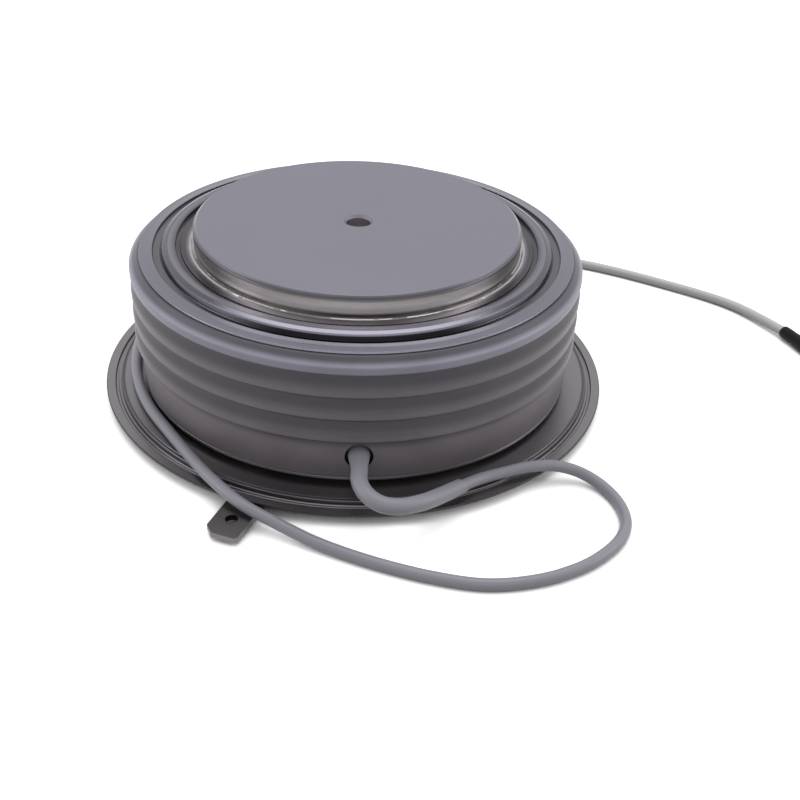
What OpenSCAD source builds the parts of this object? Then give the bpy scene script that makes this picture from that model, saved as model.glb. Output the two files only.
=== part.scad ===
// Disc thyristor: a hermetic ceramic and metal capsule, clamped between two flat heat sinks.
// The origin is the centre of the lower (cathode) contact face, +Z points to the anode face,
// and the gate leaves the ceramic towards -Y. Millimetres throughout.

/* [Capsule] */
// Height over the two contact faces
overall_h = 26; // [25:0.5:32]
// Height of the anode face above the flat of the sheet around it
anode_rise = 2.65; // [2:0.05:4]
// Depth of the cathode face below the flange
cathode_drop = 1.4; // [1:0.1:2]

/* [Contact poles] */
// Diameter of the flat contact faces
face_d = 46.6; // [44:0.1:48]
// Chamfer round each contact face
face_chamfer = 0.5; // [0.2:0.1:1]
// Height of the cathode pole from its face to the silicon stack
cathode_pole_h = 11.4; // [10.4:0.1:12.4]
// Width of the shoulder that each sheet is brazed to
shoulder_w = 1.1; // [0.8:0.1:1.5]
// Thickness of that shoulder
shoulder_t = 1.4; // [1:0.1:2]
// Diameter of the locating hole in each face
locating_d = 3.5; // [3:0.1:4]
// Depth of the locating holes
locating_depth = 2; // [1.5:0.1:2.2]
// Width of the countersink round each locating hole
countersink_w = 0.75; // [0.3:0.05:1]

/* [Ceramic ring] */
// Thickness of the ceramic's wall at the ribs
ceramic_wall = 4.3; // [4:0.1:5]
// Depth of the grooves between the ribs
rib_depth = 0.8; // [0.4:0.05:1.2]
// Number of ribs
rib_count = 4; // [2:1:4]
// Distance from one rib to the next
rib_pitch = 3.4; // [3:0.1:3.6]
// Distance from the top of the ceramic down to the first crest
first_rib_drop = 1; // [0.8:0.1:1.5]
// Depth of the step inside its upper end
rebate_depth = 0.8; // [0.7:0.1:1.2]

/* [Anode sheet] */
// Thickness of the stamped sheet
sheet_t = 0.4; // [0.3:0.05:0.5]
// Height of the flat of the sheet above the top of the ceramic
sheet_lift = 1.25; // [0.9:0.05:1.5]
// Width of the collar that is brazed to the pole
collar_w = 1.85; // [1.4:0.05:2.2]
// Depth of the collar below the flat of the sheet
collar_drop = 0.35; // [0.2:0.05:0.5]
// Width of the narrow valley between the collar and the flat
valley_w = 0.7; // [0.3:0.1:0.9]
// Depth of that valley below the collar
valley_depth = 0.2; // [0.1:0.05:0.4]
// Width of the flat
flat_w = 2.75; // [2:0.05:4]
// Width of the brazing rim on the ceramic
rim_w = 1.65; // [1.4:0.05:1.9]
// Distance from the edge of that rim to the outside of the ribs
rim_inset = 1.5; // [1.2:0.1:2]
// Width of the bead along the inner edge of the rim
bead_w = 0.55; // [0.45:0.05:0.8]
// Height of that bead above the rim
bead_h = 0.4; // [0.2:0.05:0.5]
// Width of the fold beside the rim
fold_w = 0.85; // [0.4:0.05:0.9]
// Depth of the fold below the top of the ceramic
fold_depth = 0.3; // [0.1:0.05:0.35]

/* [Weld flange] */
// Width of the flange outside the ribs
flange_w = 4.9; // [4:0.1:8]
// Thickness of each flange sheet
flange_t = 0.5; // [0.4:0.05:0.6]
// Width of the lip that the lower sheet shows outside the upper one
lip_w = 2.2; // [1.5:0.1:3]
// Height of the neck between the flange and the ceramic
neck_h = 1.2; // [1:0.1:1.6]
// Set-back of the neck from the bottom edge of the ceramic
neck_setback = 2; // [1.5:0.1:2.2]
// Radial width of the flexing fold in the lower sheet
lower_fold_w = 2.4; // [2:0.1:2.8]
// Height of that fold
lower_fold_h = 0.6; // [0.4:0.1:0.8]

/* [Auxiliary cathode tab] */
// Width of the tab
tab_w = 4.8; // [4:0.1:6.3]
// Thickness of the tab
tab_t = 0.8; // [0.5:0.1:0.8]
// Length of the tab outside the flange
tab_reach = 7; // [6:0.1:9]
// Length of the tab welded under the flange
tab_root = 3.5; // [2:0.1:5]
// Corner cut on the side away from the gate
tab_long_cut = 1.2; // [0.5:0.1:1.5]
// Corner cut on the gate side
tab_short_cut = 0.4; // [0.2:0.1:1.5]
// Diameter of the hole in the tab
tab_hole_d = 1.6; // [1.2:0.1:2]
// Distance of the hole from the end of the tab
tab_hole_inset = 3.4; // [2.5:0.1:4]
// Angle between the gate and the tab
tab_angle = 23.1; // [20:0.1:40]

/* [Silicon stack] */
// Thickness of the cathode-side molybdenum disc
cathode_disc_t = 0.8; // [0.5:0.1:1.2]
// Set-back of the anode-side disc from the side of the poles
stack_inset = 0.8; // [0.5:0.1:1.5]
// Width of the wafer's bevelled rim outside the cathode-side disc
wafer_rim = 1.4; // [0.8:0.1:2.5]
// Thickness of the silicon wafer
wafer_t = 0.6; // [0.4:0.05:0.8]
// Thickness of the anode-side molybdenum disc
anode_disc_t = 2.2; // [1.5:0.1:2.6]
// Width of the anode-side disc outside the wafer
disc_margin = 1; // [0.5:0.1:1.4]
// Depth of the rubber seal below the anode-side disc
edge_seal_h = 1.1; // [0.9:0.05:1.2]
// Clearance round the stack and its rings
ring_clearance = 0.15; // [0.1:0.05:0.3]
// Height of the insulating ring that centres the stack
centring_ring_h = 8.8; // [7:0.1:9]

/* [Gate] */
// Height of the gate tube above the bottom edge of the ceramic
gate_rise = 3.4; // [3.2:0.1:3.8]
// Outside diameter of the gate tube
gate_tube_d = 2; // [1.6:0.1:2.2]
// Bore of the gate tube
gate_tube_bore = 1; // [0.9:0.05:1.2]
// Length of the gate tube outside the ceramic
gate_tube_reach = 2.9; // [2.5:0.1:3.5]
// Length of the gate tube inside the ceramic's bore
gate_tube_inside = 1.6; // [1:0.1:2]
// Diameter of the recess round the tube in the ceramic
gate_recess_d = 3.8; // [3.6:0.1:4.4]
// Depth of that recess
gate_recess_depth = 1.6; // [1.2:0.1:2]
// Diameter of the bare wire inside the capsule
inner_wire_d = 0.7; // [0.5:0.05:0.8]
// Diameter of the tubing over that wire
inner_tubing_d = 1.5; // [1.3:0.1:1.6]
// Width of the slot in the cathode pole
gate_slot_w = 2.2; // [2:0.1:2.6]
// Diameter of the gate well in the cathode pole
well_d = 6.4; // [6:0.1:7]
// Height of the well's floor above the cathode face
well_floor = 3.2; // [3:0.1:3.4]
// Wall of the insulating cup in the well
cup_wall = 1.1; // [0.8:0.1:1.2]
// Floor of that cup
cup_floor = 0.8; // [0.6:0.1:1]
// Diameter of the contact pin
pin_d = 1.6; // [1.2:0.1:1.8]
// Diameter of the collar on the pin
pin_collar_d = 3.4; // [3.2:0.1:3.6]
// Thickness of that collar
pin_collar_t = 0.5; // [0.3:0.1:0.6]
// Diameter of the gate spring's wire
spring_wire_d = 0.35; // [0.2:0.05:0.4]
// Turns of the gate spring
spring_turns = 3; // [2:1:4]
// Diameter of the gate hole in the cathode-side disc
disc_hole_d = 4.4; // [4:0.1:5]

/* [Gate lead] */
// Diameter of the insulated lead
lead_d = 1.6; // [1.2:0.1:1.8]
// Diameter of the sleeve over the first part of the lead
sleeve_d = 2.2; // [1.9:0.1:2.4]
// Diameter of the sleeve's mouth on the gate tube
sleeve_mouth_d = 3.1; // [2.8:0.1:3.2]
// Gap between the sleeve's mouth and the floor of the recess
mouth_gap = 0.4; // [0.3:0.1:0.6]
// Diameter of the shrunk sleeve at the far end
end_sleeve_d = 2.5; // [2:0.1:3]
// Length of the end sleeve
end_sleeve_l = 14; // [10:1:20]
// Width of the push-on terminal
terminal_w = 3.6; // [3:0.1:4]
// Length of the terminal outside the end sleeve
terminal_l = 7; // [6:0.5:9]
// Thickness of the terminal's metal
terminal_t = 0.35; // [0.2:0.05:0.5]
// Clear height inside the terminal
terminal_slot = 0.6; // [0.5:0.05:0.8]

/* [Hidden] */
$fn = 96;

// A cut runs this far past the surface that it opens
cut = 1;
// Leg of the braze fillet at each pole
braze_leg = 0.35;
// Steps that one rib's wave is drawn with
rib_steps = 10;
// Part of a rib's pitch that its steeper lower side takes
rib_lower_share = 0.38;

// Radii of the poles and the sheets brazed to them
face_r = face_d / 2;
pole_r = face_r + face_chamfer;
shoulder_r = pole_r + shoulder_w;
collar_r = pole_r + collar_w;
flat_in_r = collar_r + valley_w;
fold_in_r = flat_in_r + flat_w;
fold_out_r = fold_in_r + fold_w;
rim_r = fold_out_r + rim_w;
rib_r = rim_r + rim_inset;
base_r = rib_r - rib_depth;
bore_r = rib_r - ceramic_wall;
flange_r = rib_r + flange_w;
anode_disc_r = pole_r - stack_inset;
wafer_r = anode_disc_r - disc_margin;
cathode_disc_r = wafer_r - wafer_rim;
upper_flange_r = flange_r - lip_w;
neck_out_r = base_r - neck_setback;
neck_in_r = neck_out_r - flange_t;

// Heights from the cathode face
lower_sheet_top = cathode_drop + flange_t;
upper_sheet_top = lower_sheet_top + flange_t;
ceramic_bottom = upper_sheet_top + neck_h;
sheet_top = overall_h - anode_rise;
ceramic_top = sheet_top - sheet_lift;
collar_z = sheet_top - collar_drop;
valley_z = collar_z - valley_depth;
rim_z = ceramic_top + sheet_t;
fold_z = ceramic_top - fold_depth;
anode_shoulder = valley_z - sheet_t;
wafer_bottom = cathode_pole_h + cathode_disc_t;
wafer_top = wafer_bottom + wafer_t;
stack_top = wafer_top + anode_disc_t;
gate_z = ceramic_bottom + gate_rise;

// Gate parts along their common axis
tube_tip_r = base_r + gate_tube_reach;
tube_inner_r = bore_r - gate_tube_inside;
tube_plug = 1;
mouth_r = base_r - gate_recess_depth + mouth_gap;
cup_top = cathode_pole_h - ring_clearance;
cup_bore_r = well_d / 2 - ring_clearance - cup_wall;
cup_floor_top = well_floor + cup_floor;
pin_collar_z = gate_z - inner_tubing_d / 2 - pin_collar_t;
spring_r = (pin_d + pin_collar_d) / 4;
slot_floor = gate_z - gate_slot_w / 2;

// Route of the lead from the gate tube: over the flange, a loop on the bench in front,
// back over the tab, round the ceramic on the flange, and off behind to the right.
route = [
    [0, -tube_tip_r, gate_z], [0, -37.3, 6.7], [0.9, -39.4, 6.3], [2.7, -40.8, 5.9],
    [5.1, -40.9, 5.6], [8, -39.4, 5.1], [10.9, -36.6, 4.2], [13.6, -34, 3.6],
    [16.5, -31.9, 3.3], [19.5, -30.5, 3.2], [23.4, -29.1, 3.2], [27, -28.2, 2.7],
    [30.4, -28.2, 1.7], [33.2, -30.2, 1], [34.9, -33.8, 0.8], [35.1, -37.8, 0.8],
    [33.8, -41.2, 0.8], [31.1, -44.3, 0.8], [27.4, -47, 0.8], [22, -49.2, 0.8],
    [15.5, -50, 0.8], [9, -48.7, 0.8], [2, -46.1, 0.8], [-5, -42.7, 1],
    [-10.5, -39.6, 1.8], [-15.3, -36.6, 2.7], [-19.4, -32.1, 3.2], [-22.6, -27.3, 3.2],
    [-26.2, -21.4, 3.2], [-29.8, -15, 3.2], [-32.2, -8.6, 3.2], [-33.6, -1.5, 3.2],
    [-33.6, 7, 3.2], [-31, 17, 3.2], [-25, 26.5, 3.2], [-16, 34.3, 3.1],
    [-10, 37.8, 2.6], [-4, 40.3, 1.8], [10, 43.6, 0.9], [26, 43.8, 0.8],
    [43.4, 37.9, 0.8], [57, 30.2, 0.8], [67, 22.4, 0.9], [72.9, 12.6, end_sleeve_d / 2]
];
// Point of the route where the thick sleeve ends
sleeve_end = 7;
// Sides of the swept tubes and the longest gap between their rings
tube_sides = 8;
sleeve_ring_gap = 2.2;
lead_ring_gap = 6;
// Direction in which the far end of the lead points, from +X
end_heading = -68;
lead_end = route[len(route) - 1];

// A round disc of radius r between two heights
module disc(r, low, high) {
    translate([0, 0, low])
        cylinder(h = high - low, r = r);
}

// A ring between two radii and two heights
module ring(inner, outer, low, high) {
    difference() {
        disc(outer, low, high);
        disc(inner, low - cut, high + cut);
    }
}

// A cylinder along the gate's axis, from radius near to radius far
module gate_bar(r, near, far) {
    translate([0, -near, gate_z])
        rotate([90, 0, 0])
            cylinder(h = far - near, r = r);
}

// The locating hole with its countersink, open at z = 0 and going up
module locating_hole() {
    hole_r = locating_d / 2;
    translate([0, 0, -cut])
        cylinder(h = cut + locating_depth, r = hole_r);
    translate([0, 0, -cut])
        cylinder(h = cut + countersink_w, r1 = hole_r + countersink_w + cut, r2 = hole_r);
}

// A contact pole with its face at z = 0: chamfered face, body, shoulder for the sheet
module pole(height, shoulder_z) {
    difference() {
        rotate_extrude()
            polygon([[0, 0], [face_r, 0], [pole_r, face_chamfer], [pole_r, shoulder_z],
                [shoulder_r, shoulder_z], [shoulder_r, shoulder_z + shoulder_t],
                [pole_r, shoulder_z + shoulder_t], [pole_r, height], [0, height]]);
        locating_hole();
    }
}

// A small fillet of braze metal in the corner of a pole and its sheet
module braze_fillet(z, side) {
    rotate_extrude()
        polygon([[pole_r, z], [pole_r + braze_leg, z], [pole_r, z + side * braze_leg]]);
}

// Height of a rib above the groove, from one crest (0) down to the next (1)
function rib_wave(t) = t < rib_lower_share
    ? (1 + cos(180 * t / rib_lower_share)) / 2
    : (1 - cos(180 * (t - rib_lower_share) / (1 - rib_lower_share))) / 2;

// Outline of the ribbed wall from the first crest down to the plain band
function rib_outline() = [
    for (i = [0 : rib_count - 1])
        for (k = [0 : rib_steps - 1])
            let (t = k / rib_steps)
                if (i < rib_count - 1 || t <= rib_lower_share)
                    [base_r + rib_depth * rib_wave(t),
                        ceramic_top - first_rib_drop - (i + t) * rib_pitch]
];

// Points on a smooth curve through the route, between two of its points
function spline(p, i, t) =
    let (a = p[max(i - 1, 0)], b = p[i], c = p[i + 1], d = p[min(i + 2, len(p) - 1)])
        0.5 * (2 * b + (c - a) * t + (2 * a - 5 * b + 4 * c - d) * pow(t, 2)
            + (3 * b - a - 3 * c + d) * pow(t, 3));

// The same point, no lower than a lead that lies on the bench
function on_bench(p) = [p[0], p[1], max(p[2], lead_d / 2)];

function curve(p, first, last, gap) = concat(
    [for (i = [first : last - 1])
        let (steps = ceil(norm(p[i + 1] - p[i]) / gap))
            for (k = [0 : steps - 1]) on_bench(spline(p, i, k / steps))],
    [p[last]]);

function unit(v) = v / norm(v);

// A tube of radius r along path, with flat ends square to start and finish
module sweep(path, r, start, finish) {
    n = len(path);
    s = tube_sides;
    rings = [
        for (i = [0 : n - 1])
            let (along = i == 0 ? start : i == n - 1 ? finish : unit(path[i + 1] - path[i - 1]),
                side = unit(cross(along, [0, 0, 1])),
                up = cross(side, along))
                for (k = [0 : s - 1])
                    path[i] + r * (cos(360 * k / s) * side + sin(360 * k / s) * up)
    ];
    walls = [
        for (i = [0 : n - 2], k = [0 : s - 1], half = [0, 1])
            let (a = i * s + k, b = i * s + (k + 1) % s)
                half == 0 ? [a, b, b + s] : [a, b + s, a + s]
    ];
    caps = [[for (k = [s - 1 : -1 : 0]) k], [for (k = [0 : s - 1]) (n - 1) * s + k]];
    polyhedron(points = rings, faces = concat(walls, caps), convexity = 4);
}

// Direction of the route at the end of the thick sleeve
sleeve_heading = unit(route[sleeve_end + 1] - route[sleeve_end - 1]);
end_direction = [cos(end_heading), sin(end_heading), 0];

module anode_pole() {
    color("silver")
        translate([0, 0, overall_h])
            rotate([180, 0, 0])
                pole(overall_h - stack_top, overall_h - anode_shoulder);
}

module anode_sheet() {
    color("gainsboro")
        rotate_extrude()
            polygon([[pole_r, collar_z], [collar_r, collar_z], [collar_r, valley_z],
                [flat_in_r, valley_z], [flat_in_r, sheet_top], [fold_in_r, sheet_top],
                [fold_in_r, fold_z], [fold_out_r, fold_z], [fold_out_r, rim_z + bead_h],
                [fold_out_r + bead_w, rim_z + bead_h], [fold_out_r + bead_w, rim_z],
                [rim_r, rim_z], [rim_r, ceramic_top], [fold_out_r + sheet_t, ceramic_top],
                [fold_out_r + sheet_t, fold_z - sheet_t], [fold_in_r - sheet_t, fold_z - sheet_t],
                [fold_in_r - sheet_t, sheet_top - sheet_t],
                [flat_in_r + sheet_t, sheet_top - sheet_t], [flat_in_r + sheet_t, anode_shoulder],
                [pole_r, anode_shoulder]]);
}

module anode_braze_ring() {
    color("whitesmoke")
        braze_fillet(collar_z, 1);
}

module ceramic_ring() {
    rebate_r = fold_out_r + sheet_t;
    color("slategray")
        difference() {
            rotate_extrude()
                polygon(concat(
                    [[bore_r, ceramic_bottom], [bore_r, ceramic_top - rebate_depth],
                        [rebate_r, ceramic_top - rebate_depth], [rebate_r, ceramic_top],
                        [rib_r - first_rib_drop, ceramic_top]],
                    rib_outline(), [[base_r, ceramic_bottom]]));
            gate_bar(gate_tube_d / 2, bore_r - cut, base_r);
            gate_bar(gate_recess_d / 2, base_r - gate_recess_depth, rib_r + cut);
        }
}

module upper_flange() {
    color("silver")
        rotate_extrude()
            polygon([[neck_in_r, lower_sheet_top], [upper_flange_r, lower_sheet_top],
                [upper_flange_r, upper_sheet_top], [neck_out_r, upper_sheet_top],
                [neck_out_r, ceramic_bottom - flange_t], [base_r, ceramic_bottom - flange_t],
                [base_r, ceramic_bottom], [neck_in_r, ceramic_bottom]]);
}

module lower_flange() {
    fold_a = shoulder_r + ring_clearance;
    fold_b = fold_a + lower_fold_w;
    crest = lower_sheet_top + lower_fold_h;
    color("silver")
        rotate_extrude()
            polygon([[pole_r, cathode_drop], [fold_a + flange_t, cathode_drop],
                [fold_a + flange_t, crest - flange_t], [fold_b, crest - flange_t],
                [fold_b, cathode_drop], [flange_r, cathode_drop], [flange_r, lower_sheet_top],
                [fold_b + flange_t, lower_sheet_top], [fold_b + flange_t, crest],
                [fold_a, crest], [fold_a, lower_sheet_top], [pole_r, lower_sheet_top]]);
}

module cathode_braze_ring() {
    color("whitesmoke")
        braze_fillet(cathode_drop, -1);
}

module cathode_pole() {
    color("silver")
        difference() {
            pole(cathode_pole_h, lower_sheet_top);
            disc(well_d / 2, well_floor, cathode_pole_h + cut);
            translate([-gate_slot_w / 2, -shoulder_r - cut, slot_floor])
                cube([gate_slot_w, shoulder_r + cut, cathode_pole_h - slot_floor + cut]);
        }
}

module auxiliary_cathode_tab() {
    half = tab_w / 2;
    near = flange_r - tab_root;
    far = flange_r + tab_reach;
    color("dimgray")
        rotate([0, 0, -90 - tab_angle])
            translate([0, 0, cathode_drop - tab_t])
                difference() {
                    linear_extrude(tab_t)
                        polygon([[near, -half], [far - tab_long_cut, -half],
                            [far, -half + tab_long_cut], [far, half - tab_short_cut],
                            [far - tab_short_cut, half], [near, half]]);
                    translate([far - tab_hole_inset, 0, -cut])
                        cylinder(h = tab_t + 2 * cut, d = tab_hole_d);
                }
}

module anode_disc() {
    color("lightslategray")
        disc(anode_disc_r, wafer_top, stack_top);
}

module silicon_wafer() {
    color("darkslateblue")
        disc(wafer_r, wafer_bottom, wafer_top);
}

module edge_seal() {
    color("black")
        difference() {
            ring(cathode_disc_r + ring_clearance, anode_disc_r, wafer_top - edge_seal_h,
                wafer_top);
            disc(wafer_r, wafer_bottom, wafer_top + cut);
        }
}

module cathode_disc() {
    color("lightslategray")
        ring(disc_hole_d / 2, cathode_disc_r, cathode_pole_h, wafer_bottom);
}

module centring_ring() {
    low = gate_z + gate_tube_d / 2 + ring_clearance;
    color("white")
        ring(pole_r + ring_clearance, bore_r - ring_clearance, low, low + centring_ring_h);
}

module gate_cup() {
    notch_w = inner_tubing_d + 2 * ring_clearance;
    notch_floor = gate_z - notch_w / 2;
    color("ivory")
        difference() {
            disc(well_d / 2 - ring_clearance, well_floor, cup_top);
            disc(cup_bore_r, cup_floor_top, cup_top + cut);
            translate([-notch_w / 2, -well_d, notch_floor])
                cube([notch_w, well_d, cup_top - notch_floor + cut]);
        }
}

module gate_pin() {
    color("gold") {
        disc(pin_d / 2, cup_floor_top + ring_clearance, wafer_bottom);
        disc(pin_collar_d / 2, pin_collar_z, pin_collar_z + pin_collar_t);
    }
}

module gate_spring() {
    per_turn = 16;
    wire_r = spring_wire_d / 2;
    low = cup_floor_top + wire_r;
    rise = pin_collar_z - wire_r - low;
    count = spring_turns * per_turn;
    coil = [for (k = [0 : count])
        [spring_r * cos(360 * k / per_turn), spring_r * sin(360 * k / per_turn),
            low + rise * k / count]];
    color("gray")
        sweep(coil, wire_r, [0, 1, 0], [0, 1, 0]);
}

module gate_inner_wire() {
    color("lightgray")
        gate_bar(inner_wire_d / 2, pin_d / 2, tube_tip_r - tube_plug);
}

module gate_inner_tubing() {
    clear = pin_collar_d / 2;
    color("white")
        difference() {
            gate_bar(inner_tubing_d / 2, clear, tube_inner_r);
            gate_bar(inner_wire_d / 2, clear - cut, tube_inner_r + cut);
        }
}

module gate_tube() {
    color("silver")
        difference() {
            gate_bar(gate_tube_d / 2, tube_inner_r, tube_tip_r);
            gate_bar(gate_tube_bore / 2, tube_inner_r - cut, tube_tip_r - tube_plug);
        }
}

module gate_tube_braze() {
    floor_r = base_r - gate_recess_depth;
    color("whitesmoke")
        difference() {
            gate_bar(gate_recess_d / 2, floor_r, floor_r + mouth_gap);
            gate_bar(gate_tube_d / 2, floor_r - cut, floor_r + mouth_gap + cut);
        }
}

module gate_sleeve() {
    color("gainsboro") {
        difference() {
            translate([0, -mouth_r, gate_z])
                rotate([90, 0, 0])
                    cylinder(h = tube_tip_r - mouth_r, d1 = sleeve_mouth_d, d2 = sleeve_d);
            gate_bar(gate_tube_d / 2, mouth_r - cut, tube_tip_r);
        }
        sweep(curve(route, 0, sleeve_end, sleeve_ring_gap), sleeve_d / 2,
            [0, -1, 0], sleeve_heading);
    }
}

module gate_lead() {
    color("gainsboro")
        sweep(curve(route, sleeve_end, len(route) - 1, lead_ring_gap), lead_d / 2,
            sleeve_heading, end_direction);
}

module lead_end_sleeve() {
    color("black")
        translate(lead_end)
            rotate([0, 90, end_heading])
                cylinder(h = end_sleeve_l, d = end_sleeve_d);
}

module lead_terminal() {
    height = terminal_slot + 2 * terminal_t;
    color("silver")
        translate(lead_end)
            rotate([0, 0, end_heading])
                translate([end_sleeve_l, -terminal_w / 2, -height / 2])
                    difference() {
                        cube([terminal_l, terminal_w, height]);
                        translate([terminal_t, terminal_t, terminal_t])
                            cube([terminal_l, terminal_w - 2 * terminal_t, terminal_slot]);
                        translate([terminal_t, terminal_w / 3, terminal_t])
                            cube([terminal_l, terminal_w / 3, height]);
                    }
}

anode_pole();
anode_sheet();
anode_braze_ring();
ceramic_ring();
upper_flange();
lower_flange();
cathode_braze_ring();
cathode_pole();
auxiliary_cathode_tab();
anode_disc();
silicon_wafer();
edge_seal();
cathode_disc();
centring_ring();
gate_cup();
gate_pin();
gate_spring();
gate_inner_wire();
gate_inner_tubing();
gate_tube();
gate_tube_braze();
gate_sleeve();
gate_lead();
lead_end_sleeve();
lead_terminal();
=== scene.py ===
"""Looks of a disc thyristor capsule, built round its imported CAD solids.

The part's own frame: origin at the centre of the cathode face, +Z towards the anode face, the
gate leaves towards -Y. The shapes are in millimetres, which MM turns into metres. The floor and
the lamps are in metres.
"""
import math

import bmesh
import bpy
from mathutils import Matrix, Vector, noise
from mathutils.geometry import tessellate_polygon


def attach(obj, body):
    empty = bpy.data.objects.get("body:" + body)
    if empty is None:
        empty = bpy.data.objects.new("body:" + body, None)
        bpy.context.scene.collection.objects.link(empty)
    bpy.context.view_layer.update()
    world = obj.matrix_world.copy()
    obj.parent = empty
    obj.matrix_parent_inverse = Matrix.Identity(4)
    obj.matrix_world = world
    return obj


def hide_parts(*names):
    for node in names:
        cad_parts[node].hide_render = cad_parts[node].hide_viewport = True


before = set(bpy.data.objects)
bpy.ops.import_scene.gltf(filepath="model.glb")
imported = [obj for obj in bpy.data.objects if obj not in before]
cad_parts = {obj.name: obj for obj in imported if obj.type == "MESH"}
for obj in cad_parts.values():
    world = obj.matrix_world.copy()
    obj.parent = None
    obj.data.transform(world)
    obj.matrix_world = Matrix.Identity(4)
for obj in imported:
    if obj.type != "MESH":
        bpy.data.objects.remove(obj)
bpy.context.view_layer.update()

MM = 0.001
SEGMENTS = 256
SUPPORT = 0.04
SHARP_ANGLE = math.radians(34)

# ---------------------------------------------------------------- camera

PHOTO_SIZE = 800
FOCAL_PIXELS = 1142.34
CAMERA_AT = Vector((-3.325, -153.406, 94.91))
CAMERA_AXIS = Vector((0.05766222, 0.83627721, -0.54526644))
CAMERA_TURN = math.radians(3.9443630)
CAMERA_ROLL = math.radians(2.6221)


def make_camera():
    data = bpy.data.cameras.new("camera")
    data.sensor_width = 36
    data.lens = FOCAL_PIXELS / PHOTO_SIZE * data.sensor_width
    data.clip_start = 0.01
    data.clip_end = 20
    camera = bpy.data.objects.new("camera", data)
    bpy.context.scene.collection.objects.link(camera)
    back = -CAMERA_AXIS.normalized()
    right = Vector((math.cos(CAMERA_TURN), -math.sin(CAMERA_TURN), 0))
    up = back.cross(right)
    turn = Matrix((right, up, back)).transposed().to_4x4()
    camera.matrix_world = (Matrix.Translation(CAMERA_AT * MM) @ turn
                           @ Matrix.Rotation(CAMERA_ROLL, 4, "Z"))
    bpy.context.scene.camera = camera


# ---------------------------------------------------------------- mesh helpers

def add_object(name, data):
    obj = bpy.data.objects.new(name, data)
    bpy.context.scene.collection.objects.link(obj)
    return obj


def mesh_piece(name, points, faces):
    """A smooth-shaded mesh with outward normals, from points in millimetres."""
    mesh = bpy.data.meshes.new(name)
    mesh.from_pydata([Vector(p) * MM for p in points], [], faces)
    clean_mesh(mesh)
    return add_object(name, mesh)


def clean_mesh(mesh):
    shape = bmesh.new()
    shape.from_mesh(mesh)
    bmesh.ops.remove_doubles(shape, verts=shape.verts, dist=1e-8)
    bmesh.ops.recalc_face_normals(shape, faces=shape.faces)
    shape.to_mesh(mesh)
    shape.free()
    mesh.polygons.foreach_set("use_smooth", [True] * len(mesh.polygons))
    mesh.set_sharp_from_angle(angle=SHARP_ANGLE)
    mesh.update()


def step_angle(k, count):
    """The angle of step k where a full turn has that many steps."""
    return 2 * math.pi * k / count


def ring_faces(rings, sides, closed=False):
    """Quads between neighbouring rings of points; closed joins the last ring to the first."""
    faces = []
    for i in range(rings if closed else rings - 1):
        a, b = i * sides, (i + 1) % rings * sides
        for k in range(sides):
            m = (k + 1) % sides
            faces.append([a + k, a + m, b + m, b + k])
    return faces


def rod_faces(rings, sides):
    """The same, with a flat cap on the first ring and on the last."""
    end = rings * sides
    return ring_faces(rings, sides) + [list(range(sides)),
                                       list(range(end - 1, end - sides - 1, -1))]


def rounded(corners, closed=True, steps=5):
    """A profile's points with its corners rounded; each corner is (r, z, radius)."""
    out = []
    last = len(corners) - 1
    for i, (r, z, radius) in enumerate(corners):
        here = Vector((r, z))
        if radius <= 0 or (not closed and i in (0, last)):
            out.append(here)
            continue
        before = Vector(corners[i - 1][:2]) - here
        after = Vector(corners[(i + 1) % len(corners)][:2]) - here
        half = before.angle(after) / 2
        reach = min(radius / math.tan(half), before.length * 0.48, after.length * 0.48)
        centre = here + (before.normalized() + after.normalized()).normalized() * (
            reach / math.cos(half))
        first = here + before.normalized() * reach - centre
        final = here + after.normalized() * reach - centre
        sweep = math.pi - 2 * half
        for k in range(steps + 1):
            a = math.sin((1 - k / steps) * sweep) / math.sin(sweep)
            b = math.sin(k / steps * sweep) / math.sin(sweep)
            out.append(centre + first * a + final * b)
    return out


def supported(points, closed=True):
    """Adds a point close to each end of a long stretch, so that flats stay flat in shading."""
    out = []
    count = len(points)
    for i, here in enumerate(points):
        out.append(here)
        if not closed and i == count - 1:
            break
        step = points[(i + 1) % count] - here
        if step.length > 5 * SUPPORT:
            out.append(here + step.normalized() * SUPPORT)
            out.append(here + step - step.normalized() * SUPPORT)
    return out


def lathe(name, profile, closed=True, segments=SEGMENTS, move=None):
    """A profile of (r, z) turned about the Z axis. An open one starts and ends on that axis."""
    points, rings, faces = [], [], []
    for i, (r, z) in enumerate(profile):
        if r < 1e-6:
            rings.append([len(points)] * segments)
            points.append((0, 0, z))
            continue
        rings.append(list(range(len(points), len(points) + segments)))
        for k in range(segments):
            angle = step_angle(k, segments)
            dr, dz = move(angle, i) if move else (0, 0)
            points.append(((r + dr) * math.cos(angle), (r + dr) * math.sin(angle), z + dz))
    pairs = list(zip(rings, rings[1:]))
    if closed:
        pairs.append((rings[-1], rings[0]))
    for a, b in pairs:
        for k in range(segments):
            m = (k + 1) % segments
            face = [a[k], a[m], b[m], b[k]]
            face = [v for j, v in enumerate(face) if v != face[j - 1]]
            if len(face) > 2:
                faces.append(face)
    return mesh_piece(name, points, faces)


def spline_point(points, i, t):
    a = points[max(i - 1, 0)]
    b, c = points[i], points[i + 1]
    d = points[min(i + 2, len(points) - 1)]
    return 0.5 * (2 * b + (c - a) * t + (2 * a - 5 * b + 4 * c - d) * t ** 2
                  + (3 * b - a - 3 * c + d) * t ** 3)


def spline(points, first, last, gap):
    """Points on the smooth curve through a route, between two of its points.

    They keep the lead's radius above the floor, so that the lead doesn't sink into it.
    """
    out = []
    for i in range(first, last):
        steps = math.ceil((points[i + 1] - points[i]).length / gap)
        for k in range(steps):
            p = spline_point(points, i, k / steps)
            out.append(Vector((p.x, p.y, max(p.z, LEAD_D / 2))))
    out.append(points[last].copy())
    return out


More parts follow.
